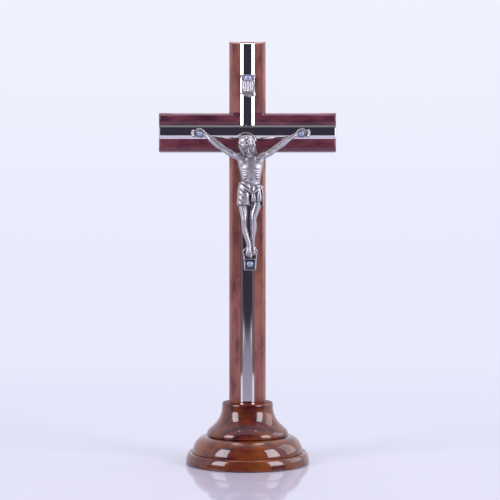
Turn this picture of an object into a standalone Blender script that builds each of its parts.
"""Standing cross with a cast figure.

A half-lapped wooden cross with metal strips laid in its front, a cast figure
and a small scroll held by nails, and a turned wooden foot screwed on from
below. Metres, +Z up. The cross faces -Y and +X is the viewer's right. The
origin is the centre of the foot's underside.
"""
import math

import bmesh
import bpy
from mathutils import Matrix, Vector

MM = 0.001

# Clearance between two pieces that touch
SEAT_GAP = 0.3 * MM

# Wooden cross
CROSS_TOP = 250.0 * MM
POST_WIDTH = 21.6 * MM
BAR_HEIGHT = 23.1 * MM
BAR_LENGTH = 105.0 * MM
BAR_BELOW_TOP = 53.65 * MM
WOOD_THICKNESS = 11.0 * MM
LONG_CHAMFER = 1.9 * MM
TOP_CHAMFER = 1.3 * MM
BAR_END_CHAMFER = 0.7 * MM

# Metal strips and the grooves that they lie in
STRIP_WIDTH = 8.2 * MM
STRIP_FLAT = 4.8 * MM
STRIP_THICKNESS = 2.1 * MM
STRIP_EDGE = 1.4 * MM
STRIP_END_CHAMFER = 0.5 * MM
GROOVE_DEPTH = 1.6 * MM
TOP_SETBACK = 1.1 * MM
BAR_END_SETBACK = 0.4 * MM

# Turned foot, as radii and heights of its mouldings
FOOT_HEIGHT = 36.1 * MM
DISC_RADIUS = 36.7 * MM
DISC_EDGE_Z = 2.8 * MM
DISC_TOP_Z = 6.0 * MM
DISC_ROUND = 1.6 * MM
LOWER_GROOVE_RADIUS = 33.1 * MM
LOWER_GROOVE_DEPTH = 0.7 * MM
TORUS_SINK = 1.5 * MM
TORUS_TOP_Z = 15.5 * MM
TORUS_ROUND = 8.3 * MM
UPPER_GROOVE_RADIUS = 23.5 * MM
UPPER_GROOVE_DEPTH = 0.7 * MM
LIP_RADIUS = 24.2 * MM
LIP_Z = 16.7 * MM
LIP_ROUND = 1.4 * MM
OGEE_SWELL = 3.9 * MM
OGEE_WAIST_RADIUS = 16.2 * MM
OGEE_WAIST_Z = 21.4 * MM
COLLAR_RADIUS = 15.2 * MM
COLLAR_STRAIGHT = 2.2 * MM
COLLAR_ROUND = 1.3 * MM
UNDERSIDE_ROUND = 0.6 * MM
MORTISE_FLOOR_Z = 14.0 * MM

# Screw that holds the cross from below
SCREW_HEAD_RADIUS = 4.0 * MM
SCREW_HEAD_HEIGHT = 2.4 * MM
SCREW_HEAD_EDGE = 0.2 * MM
SCREW_SHANK_RADIUS = 1.9 * MM
SCREW_LENGTH = 28.0 * MM
SCREW_POINT = 5.7 * MM
SCREW_RECESS = 3.2 * MM
SCREW_SLOT_WIDTH = 1.0 * MM
SCREW_SLOT_DEPTH = 1.1 * MM

# Nails
NAIL_HEAD_RADIUS = 1.85 * MM
NAIL_HEAD_HEIGHT = 1.1 * MM
NAIL_SHANK_RADIUS = 0.65 * MM
NAIL_BITE = 5.5 * MM
NAIL_TIP = 1.2 * MM

# Cast figure, measured from the middle of the line between its two nails.
# Its modelling below is counted in figure units.
FIGURE_UNIT = 1.0 * MM
FIGURE_X = 1.95 * MM
FIGURE_DROP = 1.2 * MM
HAND_REACH = 30.0 * MM
PALM_SEAT = 1.0 * MM
PLATE_DROP = 76.9 * MM
PLATE_SHIFT = -0.4 * MM
PLATE_THICKNESS = 1.9 * MM
PLATE_RECESS = 0.7 * MM
PLATE_RIM = 0.8 * MM
PLATE_TOP_WIDTH = 9.2 * MM
PLATE_LEDGE_WIDTH = 7.8 * MM
PLATE_BOTTOM_WIDTH = 6.9 * MM
PLATE_BELOW_NAIL = 3.5 * MM
PLATE_TOP_UP = -68.2
PLATE_LEDGE_UP = -74.3

# Scroll above the figure
SCROLL_WIDTH = 9.3 * MM
SCROLL_HEIGHT = 13.1 * MM
SCROLL_BELOW_TOP = 19.9 * MM
SCROLL_X = 0.3 * MM
SCROLL_THICKNESS = 0.9 * MM
SCROLL_CURL = 1.3 * MM
SCROLL_NAIL_DROP = 2.2 * MM
SCROLL_FLUTES = 5
SCROLL_FLUTE_DEPTH = 0.25 * MM
SCROLL_WAIST = 0.86
SCROLL_ROWS = 12

# Places that follow from the sizes above
HALF_WOOD = WOOD_THICKNESS / 2
GROOVE_FLOOR_Y = -HALF_WOOD + GROOVE_DEPTH
STRIP_BACK_Y = GROOVE_FLOOR_Y - SEAT_GAP
STRIP_FRONT_Y = STRIP_BACK_Y - STRIP_THICKNESS
CASTING_BACK_Y = STRIP_FRONT_Y - SEAT_GAP
BAR_CENTRE_Z = CROSS_TOP - BAR_BELOW_TOP
BAR_TOP_Z = BAR_CENTRE_Z + BAR_HEIGHT / 2
BAR_BOTTOM_Z = BAR_CENTRE_Z - BAR_HEIGHT / 2
POST_FOOT_Z = MORTISE_FLOOR_Z + SEAT_GAP
SCREW_NECK_Z = SCREW_RECESS + SCREW_HEAD_HEIGHT
SCREW_TIP_Z = SCREW_RECESS + SCREW_LENGTH
FIGURE_Z = BAR_CENTRE_Z - FIGURE_DROP
PLATE_NAIL_Z = FIGURE_Z - PLATE_DROP
PLATE_X = FIGURE_X + PLATE_SHIFT
SCROLL_TOP_Z = CROSS_TOP - SCROLL_BELOW_TOP
SCROLL_NAIL_Z = SCROLL_TOP_Z - SCROLL_NAIL_DROP
NAIL_HOLE_RADIUS = NAIL_SHANK_RADIUS + SEAT_GAP
NAIL_POCKET_RADIUS = NAIL_HEAD_RADIUS + SEAT_GAP

# How finely round shapes are divided
FOOT_SIDES = 56
NAIL_SIDES = 16
SCREW_SIDES = 24
CLEAR = 4.0 * MM


def clear_scene():
    """Remove what a new file holds."""
    for obj in list(bpy.data.objects):
        bpy.data.objects.remove(obj)


def finish_material(name, colour, metallic, roughness):
    """One Principled material for one sub-part."""
    material = bpy.data.materials.new(name)
    material.use_nodes = True
    shader = material.node_tree.nodes["Principled BSDF"]
    shader.inputs["Base Color"].default_value = (*colour, 1.0)
    shader.inputs["Metallic"].default_value = metallic
    shader.inputs["Roughness"].default_value = roughness
    material.diffuse_color = (*colour, 1.0)
    return material


def wood(name, colour):
    """Lacquered wood."""
    return finish_material(name, colour, 0.0, 0.2)


def metal(name, colour, roughness):
    """Bare or plated metal."""
    return finish_material(name, colour, 1.0, roughness)


def make_object(name, bm, material=None, smooth_angle=None):
    """Turn a bmesh into a linked object with outward faces."""
    bmesh.ops.recalc_face_normals(bm, faces=bm.faces)
    mesh = bpy.data.meshes.new(name)
    bm.to_mesh(mesh)
    bm.free()
    if smooth_angle is not None:
        mesh.shade_smooth()
        mesh.set_sharp_from_angle(angle=math.radians(smooth_angle))
    obj = bpy.data.objects.new(name, mesh)
    bpy.context.scene.collection.objects.link(obj)
    if material is not None:
        mesh.materials.append(material)
    return obj


def as_tool(obj):
    """Mark an object as a cutter or an ingredient, which isn't a sub-part."""
    obj.hide_render = True
    obj.display_type = "WIRE"
    return obj


def apply_tool(target, tool, operation="DIFFERENCE"):
    """Cut, keep or add the tool's shape."""
    modifier = target.modifiers.new(tool.name, "BOOLEAN")
    modifier.operation = operation
    modifier.solver = "EXACT"
    modifier.object = as_tool(tool)
    return target


def box(name, low, high, material=None):
    """Box between two corners."""
    low = Vector(low)
    high = Vector(high)
    bm = bmesh.new()
    place = Matrix.Translation((low + high) / 2) @ Matrix.Diagonal((*(high - low), 1.0))
    bmesh.ops.create_cube(bm, size=1.0, matrix=place)
    return make_object(name, bm, material)


def arc(centre, across, up, start, end, steps):
    """Points of an elliptical arc, angles in degrees."""
    points = []
    for step in range(steps + 1):
        angle = math.radians(start + (end - start) * step / steps)
        radius = centre[0] + across * math.cos(angle)
        height = centre[1] + up * math.sin(angle)
        points.append((radius, height))
    return points


def curve(start, leave, arrive, end, steps):
    """Points of a Bezier curve, which leaves and arrives by the two middle points."""
    points = []
    for step in range(steps + 1):
        gone = step / steps
        left = 1 - gone
        weights = (left ** 3, 3 * left ** 2 * gone, 3 * left * gone ** 2, gone ** 3)
        corners = (start, leave, arrive, end)
        radius = sum(weight * corner[0] for weight, corner in zip(weights, corners))
        height = sum(weight * corner[1] for weight, corner in zip(weights, corners))
        points.append((radius, height))
    return points


def turned(name, profile, sides, material=None, place=None, smooth_angle=40):
    """Body of revolution about Z from (radius, height) points, both ends on the axis."""
    bm = bmesh.new()
    verts = [bm.verts.new((radius, 0.0, height)) for radius, height in profile]
    edges = [bm.edges.new(pair) for pair in zip(verts, verts[1:])]
    bmesh.ops.spin(bm, geom=verts + edges, cent=(0, 0, 0), axis=(0, 0, 1), dvec=(0, 0, 0),
                   angle=math.tau, steps=sides, use_merge=True, use_duplicate=False)
    bmesh.ops.remove_doubles(bm, verts=bm.verts, dist=0.002 * MM)
    if place is not None:
        bmesh.ops.transform(bm, matrix=place, verts=bm.verts)
    return make_object(name, bm, material, smooth_angle)


def slice_off(bm, point, normal):
    """Cut away what lies beyond a plane and close the cut."""
    geometry = bm.verts[:] + bm.edges[:] + bm.faces[:]
    cut = bmesh.ops.bisect_plane(bm, geom=geometry, dist=0.0001 * MM, plane_co=point,
                                 plane_no=normal, clear_outer=True)
    rim = [item for item in cut["geom_cut"] if isinstance(item, bmesh.types.BMEdge)]
    bmesh.ops.edgenet_fill(bm, edges=rim)


# Wooden cross

def cross_blank(name):
    """The whole cross in one block, with its front arrises chamfered."""
    post = POST_WIDTH / 2
    bar = BAR_LENGTH / 2
    right = [(post, POST_FOOT_Z), (post, BAR_BOTTOM_Z), (bar, BAR_BOTTOM_Z),
             (bar, BAR_TOP_Z), (post, BAR_TOP_Z), (post, CROSS_TOP)]
    outline = right + [(-x, z) for x, z in reversed(right)]
    bm = bmesh.new()
    back = bm.faces.new([bm.verts.new((x, HALF_WOOD, z)) for x, z in outline])
    front = bmesh.ops.extrude_face_region(bm, geom=[back], use_keep_orig=True)
    moved = [item for item in front["geom"] if isinstance(item, bmesh.types.BMVert)]
    bmesh.ops.translate(bm, verts=moved, vec=(0, -WOOD_THICKNESS, 0))
    ends = (POST_FOOT_Z, CROSS_TOP)
    arrises = []
    for edge in bm.edges:
        first, second = edge.verts
        at_front = first.co.y < 0 and second.co.y < 0
        level = abs(first.co.z - second.co.z) < MM
        at_post_end = level and any(abs(first.co.z - end) < MM for end in ends)
        at_bar_end = not level and abs(abs(first.co.x) - bar) < MM
        if at_front and not at_post_end and not at_bar_end:
            arrises.append(edge)
    bmesh.ops.bevel(bm, geom=arrises, offset=LONG_CHAMFER, offset_type="OFFSET", segments=1,
                    profile=0.5, affect="EDGES", material=-1, clamp_overlap=False)
    slice_off(bm, (0, -HALF_WOOD, CROSS_TOP - TOP_CHAMFER), (0, -1, 1))
    for side in (-1, 1):
        slice_off(bm, (side * (bar - BAR_END_CHAMFER), -HALF_WOOD, 0), (side, -1, 0))
    return make_object(name, bm)


def lap_space(name, clearance):
    """Space of the crossbar: its arms, and the front half where it passes the post."""
    arm = BAR_LENGTH / 2 + CLEAR
    notch = POST_WIDTH / 2 + clearance
    front = -HALF_WOOD - CLEAR
    back = HALF_WOOD + CLEAR
    lap = -clearance
    outline = [(-arm, front), (arm, front), (arm, back), (notch, back),
               (notch, lap), (-notch, lap), (-notch, back), (-arm, back)]
    bm = bmesh.new()
    low = bm.faces.new([bm.verts.new((x, y, BAR_BOTTOM_Z)) for x, y in outline])
    high = bmesh.ops.extrude_face_region(bm, geom=[low], use_keep_orig=True)
    moved = [item for item in high["geom"] if isinstance(item, bmesh.types.BMVert)]
    bmesh.ops.translate(bm, verts=moved, vec=(0, 0, BAR_HEIGHT))
    return make_object(name, bm)


def grow_lap(tool, amount):
    """Lengthen the lap space along Z, so the post stays clear of the crossbar."""
    for vertex in tool.data.vertices:
        if vertex.co.z > BAR_CENTRE_Z:
            vertex.co.z += amount
        else:
            vertex.co.z -= amount
    return tool


def groove_tool(name, along):
    """Cutter for a strip's groove, along Z or along X."""
    half = STRIP_WIDTH / 2 + SEAT_GAP
    front = -HALF_WOOD - CLEAR
    if along == "Z":
        return box(name, (-half, front, -CLEAR), (half, GROOVE_FLOOR_Y, CROSS_TOP + CLEAR))
    reach = BAR_LENGTH / 2 + CLEAR
    low = (-reach, front, BAR_CENTRE_Z - half)
    high = (reach, GROOVE_FLOOR_Y, BAR_CENTRE_Z + half)
    return box(name, low, high)


def hole_tool(name, x, z):
    """Cutter for one nail's hole, from well in front to a little past the nail's tip."""
    start = -HALF_WOOD - 2 * CLEAR
    length = GROOVE_FLOOR_Y + NAIL_BITE + SEAT_GAP - start
    place = Matrix.Translation((x, start, z)) @ Matrix.Rotation(-math.pi / 2, 4, "X")
    profile = [(0, 0), (NAIL_HOLE_RADIUS, 0), (NAIL_HOLE_RADIUS, length), (0, length)]
    return turned(name, profile, NAIL_SIDES, place=place)


def nail_places():
    """Name, place and seat of each nail; the seat is how far it stands off the strips."""
    scroll_seat = SCROLL_THICKNESS + SEAT_GAP
    plate_seat = PLATE_THICKNESS - PLATE_RECESS + SEAT_GAP
    palm_seat = PALM_SEAT + SEAT_GAP
    return {
        "nail_left_hand": (FIGURE_X - HAND_REACH, FIGURE_Z, palm_seat),
        "nail_right_hand": (FIGURE_X + HAND_REACH, FIGURE_Z, palm_seat),
        "nail_footrest": (PLATE_X, PLATE_NAIL_Z, plate_seat),
        "nail_scroll": (SCROLL_X, SCROLL_NAIL_Z, scroll_seat),
    }


def drill(target, *nails):
    """Cut the holes of the named nails."""
    for nail in nails:
        x, z, _ = nail_places()[nail]
        apply_tool(target, hole_tool(target.name + "_" + nail + "_hole", x, z))
    return target


def build_crossbar():
    """Horizontal bar, lapped over the post's front half."""
    bar = cross_blank("crossbar")
    bar.data.materials.append(wood("lacquered_crossbar", (0.075, 0.012, 0.016)))
    apply_tool(bar, lap_space("crossbar_keep", SEAT_GAP / 2), "INTERSECT")
    apply_tool(bar, groove_tool("crossbar_long_groove", "X"))
    apply_tool(bar, groove_tool("crossbar_short_groove", "Z"))
    return drill(bar, "nail_left_hand", "nail_right_hand")


def build_post():
    """Upright, notched for the crossbar, with its lower end in the foot."""
    post = cross_blank("upright_post")
    post.data.materials.append(wood("lacquered_post", (0.22, 0.06, 0.025)))
    apply_tool(post, grow_lap(lap_space("post_notch", -SEAT_GAP / 2), SEAT_GAP))
    apply_tool(post, groove_tool("post_groove", "Z"))
    shank = SCREW_SHANK_RADIUS + SEAT_GAP
    tip = SCREW_TIP_Z + 2 * SEAT_GAP
    pilot = [(0, 0), (shank, 0), (shank, tip), (0, tip)]
    apply_tool(post, turned("post_pilot", pilot, SCREW_SIDES))
    return drill(post, "nail_footrest", "nail_scroll")


# Metal strips

def build_strip(name, start, end, chamfer_start, chamfer_end, level=False):
    """Strip with a flat crown and sloped sides, from start to end along Z, or along X."""
    half = STRIP_WIDTH / 2
    crown = STRIP_FLAT / 2
    section = [(-half, 0), (half, 0), (half, -STRIP_EDGE), (crown, -STRIP_THICKNESS),
               (-crown, -STRIP_THICKNESS), (-half, -STRIP_EDGE)]
    bm = bmesh.new()
    low = bm.faces.new([bm.verts.new((x, y + STRIP_BACK_Y, start)) for x, y in section])
    high = bmesh.ops.extrude_face_region(bm, geom=[low], use_keep_orig=True)
    moved = [item for item in high["geom"] if isinstance(item, bmesh.types.BMVert)]
    bmesh.ops.translate(bm, verts=moved, vec=(0, 0, end - start))
    if chamfer_start:
        slice_off(bm, (0, STRIP_FRONT_Y, start + STRIP_END_CHAMFER), (0, -1, -1))
    if chamfer_end:
        slice_off(bm, (0, STRIP_FRONT_Y, end - STRIP_END_CHAMFER), (0, -1, 1))
    if level:
        turn = Matrix.Translation((0, 0, BAR_CENTRE_Z)) @ Matrix.Rotation(math.pi / 2, 4, "Y")
        bmesh.ops.transform(bm, matrix=turn, verts=bm.verts)
    return make_object(name, bm, metal(name + "_nickel", (0.72, 0.69, 0.62), 0.06))


def build_strips():
    """One long strip on the crossbar, and two on the post that butt against it."""
    reach = BAR_LENGTH / 2 - BAR_END_SETBACK
    butt = STRIP_WIDTH / 2 + SEAT_GAP
    level = build_strip("crossbar_strip", -reach, reach, True, True, level=True)
    drill(level, "nail_left_hand", "nail_right_hand")
    upper = build_strip("upper_strip", BAR_CENTRE_Z + butt, CROSS_TOP - TOP_SETBACK, False, True)
    drill(upper, "nail_scroll")
    lower = build_strip("lower_strip", FOOT_HEIGHT + SEAT_GAP, BAR_CENTRE_Z - butt, True, False)
    drill(lower, "nail_footrest")


# Foot

def foot_profile():
    """Outline of the turned foot, from the centre of its underside to the centre of its top."""
    disc_centre = (DISC_RADIUS - DISC_ROUND, DISC_EDGE_Z)
    torus_base = DISC_TOP_Z - TORUS_SINK
    torus_centre = (LOWER_GROOVE_RADIUS - TORUS_ROUND, torus_base)
    lip_centre = (LIP_RADIUS - LIP_ROUND, LIP_Z)
    rim_centre = (COLLAR_RADIUS - COLLAR_ROUND, FOOT_HEIGHT - COLLAR_ROUND)
    collar_base = (COLLAR_RADIUS, FOOT_HEIGHT - COLLAR_ROUND - COLLAR_STRAIGHT)
    points = [(0, 0)]
    points += arc((DISC_RADIUS - UNDERSIDE_ROUND, UNDERSIDE_ROUND),
                  UNDERSIDE_ROUND, UNDERSIDE_ROUND, -90, 0, 2)
    points += arc(disc_centre, DISC_ROUND, DISC_TOP_Z - DISC_EDGE_Z, 0, 90, 6)
    points += [(LOWER_GROOVE_RADIUS, DISC_TOP_Z - LOWER_GROOVE_DEPTH)]
    points += arc(torus_centre, TORUS_ROUND, TORUS_TOP_Z - torus_base, 8, 90, 9)
    points += [(UPPER_GROOVE_RADIUS, TORUS_TOP_Z - UPPER_GROOVE_DEPTH)]
    points += arc(lip_centre, LIP_ROUND, LIP_ROUND, -60, 0, 3)
    points += curve((LIP_RADIUS, LIP_Z), (LIP_RADIUS, LIP_Z + OGEE_SWELL),
                    (OGEE_WAIST_RADIUS, OGEE_WAIST_Z), collar_base, 14)[1:]
    points += arc(rim_centre, COLLAR_ROUND, COLLAR_ROUND, 0, 90, 3)
    points += [(0, FOOT_HEIGHT)]
    return points


def build_foot():
    """Turned foot with the post's mortise above and the screw's recess below."""
    foot = turned("base_foot", foot_profile(), FOOT_SIDES, wood("lacquered_foot", (0.15, 0.03, 0.014)))
    half_width = POST_WIDTH / 2 + SEAT_GAP
    half_depth = HALF_WOOD + SEAT_GAP
    mortise = box("mortise", (-half_width, -half_depth, MORTISE_FLOOR_Z),
                  (half_width, half_depth, FOOT_HEIGHT + CLEAR))
    apply_tool(foot, mortise)
    head = SCREW_HEAD_RADIUS + SEAT_GAP
    shank = SCREW_SHANK_RADIUS + SEAT_GAP
    top = MORTISE_FLOOR_Z + CLEAR
    hole = [(0, -CLEAR), (head, -CLEAR), (head, SCREW_RECESS + SEAT_GAP),
            (shank, SCREW_NECK_Z + SEAT_GAP), (shank, top), (0, top)]
    return apply_tool(foot, turned("screw_recess", hole, SCREW_SIDES))


def build_screw():
    """Countersunk slotted wood screw, driven up through the foot into the post."""
    head = SCREW_HEAD_RADIUS
    shank = SCREW_SHANK_RADIUS
    profile = [(0, SCREW_RECESS), (head, SCREW_RECESS), (head, SCREW_RECESS + SCREW_HEAD_EDGE),
               (shank, SCREW_NECK_Z), (shank, SCREW_TIP_Z - SCREW_POINT), (0, SCREW_TIP_Z)]
    screw = turned("base_screw", profile, SCREW_SIDES, metal("zinc_screw", (0.60, 0.60, 0.58), 0.3))
    half = SCREW_SLOT_WIDTH / 2
    slot = box("screw_slot", (-2 * head, -half, SCREW_RECESS - CLEAR),
               (2 * head, half, SCREW_RECESS + SCREW_SLOT_DEPTH))
    return apply_tool(screw, slot)


# Nails

def build_nails():
    """Round-headed nails, all alike but for how far they stand off the wood."""
    for name, (x, z, seat) in nail_places().items():
        off_wood = seat - CASTING_BACK_Y + GROOVE_FLOOR_Y
        tip = -off_wood - NAIL_BITE
        profile = [(0, tip), (NAIL_SHANK_RADIUS, tip + NAIL_TIP), (NAIL_SHANK_RADIUS, 0)]
        rim = 0.25 * NAIL_HEAD_HEIGHT
        profile += arc((0, rim), NAIL_HEAD_RADIUS, NAIL_HEAD_HEIGHT - rim, -8, 90, 5)
        front = CASTING_BACK_Y - seat
        place = Matrix.Translation((x, front, z)) @ Matrix.Rotation(math.pi / 2, 4, "X")
        turned(name, profile, NAIL_SIDES, metal(name + "_steel", (0.50, 0.53, 0.60), 0.35), place=place)


# Cast figure

def figure_point(x, out, z):
    """Figure units across, out from the strips and up, from the line between the palms."""
    unit = FIGURE_UNIT
    return Vector((FIGURE_X + x * unit, CASTING_BACK_Y - out * unit, FIGURE_Z + z * unit))


def limb(name, stations, sides=12):
    """Closed body through elliptical rings, each (across, out, up, width, depth) in figure units."""
    bm = bmesh.new()
    out = Vector((0, -1, 0))
    centres = [figure_point(*station[:3]) for station in stations]
    rings = []
    for index, station in enumerate(stations):
        before = centres[max(index - 1, 0)]
        after = centres[min(index + 1, len(centres) - 1)]
        along = (after - before).normalized()
        facing = (out - along * along.dot(out)).normalized()
        turn = Matrix((facing.cross(along), facing, along)).transposed().to_4x4()
        size = Matrix.Diagonal((station[3] * FIGURE_UNIT, station[4] * FIGURE_UNIT, 1.0, 1.0))
        place = Matrix.Translation(centres[index]) @ turn @ size
        ring = bmesh.ops.create_circle(bm, segments=sides, radius=0.5, matrix=place)["verts"]
        rings.append(list({edge: True for vertex in ring for edge in vertex.link_edges}))
    for lower, upper in zip(rings, rings[1:]):
        bmesh.ops.bridge_loops(bm, edges=lower + upper)
    for end in (rings[0], rings[-1]):
        bmesh.ops.edgenet_fill(bm, edges=end)
    return make_object(name, bm)


def arm(name, side, elbow, shoulder):
    """Raised arm from the shoulder to the palm; side is -1 at the viewer's left."""
    elbow_x, elbow_z = elbow
    shoulder_x, shoulder_z = shoulder
    reach = HAND_REACH / FIGURE_UNIT
    stations = [
        (side * (shoulder_x - 4.0), 5.2, shoulder_z - 3.0, 3.2, 3.6),
        (side * shoulder_x, 5.0, shoulder_z, 5.2, 5.2),
        (side * (shoulder_x + elbow_x) / 2, 4.4, (shoulder_z + elbow_z) / 2, 4.3, 4.3),
        (side * elbow_x, 3.6, elbow_z, 4.4, 4.2),
        (side * (elbow_x + 4.2), 3.0, elbow_z + 3.2, 4.2, 3.8),
        (side * (reach - 5.0), 2.2, -1.1, 3.0, 2.6),
        (side * (reach - 3.6), 1.7, -0.5, 3.6, 2.5),
        (side * (reach - 1.8), 1.35, -0.1, 5.0, 2.5),
        (side * (reach + 0.9), 1.3, 0.1, 5.2, 2.5),
        (side * (reach + 3.2), 1.4, 0.3, 3.9, 2.4),
        (side * (reach + 4.9), 1.7, 0.5, 1.8, 1.6),
    ]
    return limb(name, stations)


def figure_parts():
    """Ingredients of the casting, which are united into one body."""
    parts = [
        arm("left_arm", -1, (17.3, -7.6), (7.2, -13.8)),
        arm("right_arm", 1, (15.9, -7.4), (6.8, -13.8)),
        limb("left_leg", [
            (-3.6, 4.2, -33.0, 5.0, 5.2), (-4.5, 4.4, -40.0, 5.3, 5.6), (-4.3, 5.0, -46.0, 4.5, 4.9),
            (-3.95, 5.5, -51.8, 3.6, 4.0), (-3.4, 4.9, -55.5, 3.7, 4.0), (-2.9, 4.5, -58.5, 3.6, 3.9),
            (-2.0, 4.3, -62.7, 3.0, 3.2), (-1.2, 4.2, -67.0, 2.7, 3.0), (-1.2, 4.6, -70.0, 3.4, 3.2),
            (-1.3, 4.4, -72.6, 3.9, 2.2), (-1.3, 4.2, -73.7, 2.6, 1.4)]),
        limb("right_leg", [
            (3.2, 4.2, -33.0, 5.0, 5.2), (3.8, 4.4, -40.0, 5.3, 5.6), (2.8, 4.6, -46.0, 4.5, 4.9),
            (1.6, 4.8, -51.8, 3.7, 4.0), (1.8, 4.0, -55.3, 3.7, 4.0), (1.8, 3.4, -58.5, 3.4, 3.6),
            (1.6, 2.9, -62.5, 2.7, 2.9), (1.2, 2.6, -66.5, 2.5, 2.7), (1.4, 3.0, -70.0, 3.2, 2.8),
            (1.6, 2.9, -72.6, 3.2, 2.0), (1.6, 2.8, -73.7, 2.2, 1.4)]),
        limb("loincloth", [
            (0.0, 4.6, -27.4, 9.4, 5.6), (-0.1, 4.6, -28.8, 13.2, 7.2), (-0.2, 4.8, -33.2, 15.2, 8.3),
            (-0.2, 5.0, -38.0, 15.5, 8.8), (-0.6, 5.0, -41.4, 14.9, 8.6),
            (-0.6, 5.0, -42.3, 13.6, 7.6)], 20),
        limb("cloth_knot", [
            (5.6, 7.0, -29.8, 1.6, 1.6), (6.3, 7.2, -31.3, 3.2, 3.0), (6.6, 6.4, -34.5, 2.8, 2.6),
            (7.0, 5.4, -39.0, 2.6, 3.0), (7.2, 5.0, -43.4, 1.8, 2.2)], 10),
        limb("head_hair", [
            (-2.7, 6.2, -1.1, 3.4, 3.2), (-2.6, 6.3, -1.9, 7.0, 6.4), (-2.3, 6.5, -3.6, 9.8, 8.6),
            (-2.0, 6.5, -6.2, 11.0, 9.2), (-1.8, 6.3, -9.0, 10.8, 8.4), (-1.6, 5.6, -11.6, 10.6, 6.4),
            (-1.5, 4.8, -13.8, 9.8, 5.0), (-1.4, 4.4, -15.6, 8.0, 3.6)], 16),
        limb("face", [
            (-2.2, 8.4, -2.8, 4.6, 3.6), (-2.1, 9.2, -4.6, 6.6, 4.8), (-1.9, 9.5, -7.0, 7.2, 5.2),
            (-1.6, 9.4, -9.4, 6.6, 4.9), (-1.4, 9.0, -11.6, 5.4, 4.4), (-1.2, 8.8, -13.4, 3.8, 3.4),
            (-1.1, 8.6, -14.6, 1.8, 1.8)], 14),
        limb("nose", [
            (-1.85, 11.3, -6.4, 0.8, 1.0), (-1.75, 12.0, -8.6, 1.3, 1.2),
            (-1.7, 11.6, -9.4, 0.9, 0.9)], 8),
        footrest_plate("footrest_plate"),
        limb("footrest_ledge", [
            (-4.2, 1.6, PLATE_LEDGE_UP, 1.0, 2.8), (-3.4, 2.2, PLATE_LEDGE_UP, 1.2, 4.0),
            (2.6, 2.2, PLATE_LEDGE_UP, 1.2, 4.0), (3.4, 1.6, PLATE_LEDGE_UP, 1.0, 2.8)], 8),
    ]
    return parts


def footrest_plate(name):
    """Tapered plate behind the feet, with a raised rim round the nail's panel."""
    top_z = figure_point(0, 0, PLATE_TOP_UP).z
    ledge_z = figure_point(0, 0, PLATE_LEDGE_UP).z
    bottom_z = PLATE_NAIL_Z - PLATE_BELOW_NAIL
    half_widths = ((PLATE_TOP_WIDTH / 2, top_z), (PLATE_LEDGE_WIDTH / 2, ledge_z),
                   (PLATE_BOTTOM_WIDTH / 2, bottom_z))
    outline = [(PLATE_X + half, z) for half, z in half_widths]
    outline += [(PLATE_X - half, z) for half, z in reversed(half_widths)]
    bm = bmesh.new()
    back = bm.faces.new([bm.verts.new((x, CASTING_BACK_Y, z)) for x, z in outline])
    front = bmesh.ops.extrude_face_region(bm, geom=[back], use_keep_orig=True)
    moved = [item for item in front["geom"] if isinstance(item, bmesh.types.BMVert)]
    bmesh.ops.translate(bm, verts=moved, vec=(0, -PLATE_THICKNESS, 0))
    plate = make_object(name, bm)
    half_panel = PLATE_BOTTOM_WIDTH / 2 - PLATE_RIM
    panel_y = CASTING_BACK_Y - PLATE_THICKNESS + PLATE_RECESS
    panel = box(name + "_panel",
                (PLATE_X - half_panel, CASTING_BACK_Y - CLEAR, bottom_z + PLATE_RIM),
                (PLATE_X + half_panel, panel_y, ledge_z - PLATE_RIM))
    return apply_tool(plate, panel)


def pocket_tool(name, x, z, seat):
    """Cutter for the pocket that a nail's head sinks into."""
    place = Matrix.Translation((x, CASTING_BACK_Y - seat, z)) @ Matrix.Rotation(math.pi / 2, 4, "X")
    profile = [(0, 0), (NAIL_POCKET_RADIUS, 0), (NAIL_POCKET_RADIUS, CLEAR), (0, CLEAR)]
    return turned(name, profile, NAIL_SIDES, place=place)


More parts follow.
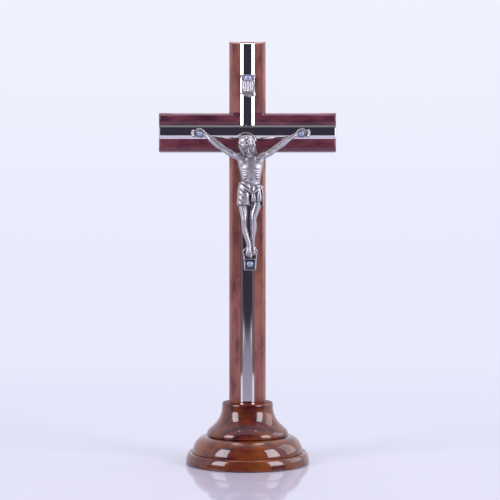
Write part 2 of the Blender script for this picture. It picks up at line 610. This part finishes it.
def build_corpus():
    """Figure with outspread arms and crossed feet on a footrest, cast in one piece."""
    corpus = limb("corpus", [
        (0.2, 5.0, -14.0, 8.0, 4.6), (0.3, 5.0, -15.3, 13.4, 6.6), (0.3, 5.1, -17.4, 14.6, 7.8),
        (0.25, 5.1, -19.8, 14.2, 8.2), (0.2, 4.9, -22.8, 13.2, 7.8), (0.15, 4.6, -26.2, 12.0, 6.8),
        (-0.1, 4.4, -28.4, 11.4, 6.6), (-0.1, 4.6, -32.0, 12.4, 7.2), (-0.2, 4.6, -36.0, 12.6, 7.2),
        (-0.2, 4.6, -38.0, 9.0, 5.0)], 18)
    corpus.data.materials.append(metal("antique_silver", (0.42, 0.41, 0.42), 0.35))
    neck = limb("neck", [
        (-0.2, 5.0, -18.0, 4.0, 4.0), (-0.6, 5.6, -14.6, 5.0, 4.8), (-1.4, 6.6, -11.0, 5.2, 5.0),
        (-1.8, 7.2, -8.0, 4.0, 4.0)], 12)
    for part in [neck] + figure_parts():
        apply_tool(corpus, part, "UNION")
    for nail in ("nail_left_hand", "nail_right_hand"):
        x, z, _ = nail_places()[nail]
        apply_tool(corpus, pocket_tool(nail + "_pocket", x, z, PALM_SEAT))
    strip_side = box("strip_side", (-BAR_LENGTH, CASTING_BACK_Y, 0),
                     (BAR_LENGTH, CASTING_BACK_Y + CLEAR, CROSS_TOP))
    apply_tool(corpus, strip_side)
    return drill(corpus, "nail_left_hand", "nail_right_hand", "nail_footrest")


# Scroll

def build_scroll():
    """Little parchment plate, waisted and fluted, with its ends curling forward."""
    bm = bmesh.new()
    bmesh.ops.create_grid(bm, x_segments=4 * SCROLL_FLUTES, y_segments=SCROLL_ROWS, size=0.5)
    for vertex in bm.verts:
        across = vertex.co.x * 2
        down = 0.5 - vertex.co.y
        end = abs(down - 0.5) * 2
        width = SCROLL_WIDTH * (SCROLL_WAIST + (1 - SCROLL_WAIST) * end ** 2)
        curl = SCROLL_CURL * end ** 4
        flute = SCROLL_FLUTE_DEPTH * math.cos(math.pi * SCROLL_FLUTES * across) * (1 - end ** 2)
        vertex.co.x = SCROLL_X + across * width / 2
        vertex.co.y = CASTING_BACK_Y - curl + flute - SCROLL_FLUTE_DEPTH
        vertex.co.z = SCROLL_TOP_Z - down * SCROLL_HEIGHT
    front = bmesh.ops.extrude_face_region(bm, geom=bm.faces[:], use_keep_orig=True)
    moved = [item for item in front["geom"] if isinstance(item, bmesh.types.BMVert)]
    bmesh.ops.translate(bm, verts=moved, vec=(0, -SCROLL_THICKNESS, 0))
    silver = metal("antique_silver_scroll", (0.42, 0.41, 0.42), 0.35)
    scroll = make_object("scroll_plate", bm, silver, 50)
    apply_tool(scroll, pocket_tool("nail_scroll_pocket", SCROLL_X, SCROLL_NAIL_Z, SCROLL_THICKNESS))
    return drill(scroll, "nail_scroll")


def main():
    """Build every sub-part."""
    clear_scene()
    build_foot()
    build_screw()
    build_post()
    build_crossbar()
    build_strips()
    build_corpus()
    build_scroll()
    build_nails()


main()
